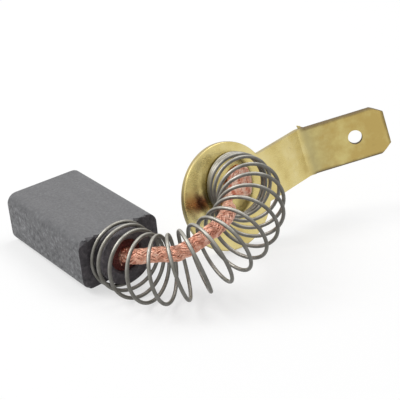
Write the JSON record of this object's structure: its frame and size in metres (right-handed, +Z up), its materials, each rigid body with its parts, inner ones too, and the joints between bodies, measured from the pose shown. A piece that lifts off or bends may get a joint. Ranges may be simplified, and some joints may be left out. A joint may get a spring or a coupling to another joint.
{
  "type": "carbon brush",
  "caption": "Carbon motor brush with a rounded block, a braided copper lead tamped into its boss, a bent coil spring and a brass disc terminal with a folded blade tab.",
  "frame": {"origin": "middle of the part's outline seen from above, at the ground it lies on", "axes": "+X from the block's contact face towards its boss, +Y from the block towards the blade tab, +Z up"},
  "size_m": [0.0304, 0.0454, 0.0145],
  "materials": {
    "carbon": "matte, pressed and ground",
    "copper_powder": "dull, tamped powder",
    "copper_braid": "satin, braided fine wire",
    "spring_steel": "satin, drawn wire",
    "sheet_brass": "bright, rolled and stamped"
  },
  "bodies": {
    "root": {"carbon_block": "carbon", "tamping_plug": "copper_powder", "shunt_lead": "copper_braid", "compression_spring": "spring_steel", "brass_terminal": "sheet_brass"}
  },
  "joints": []
}
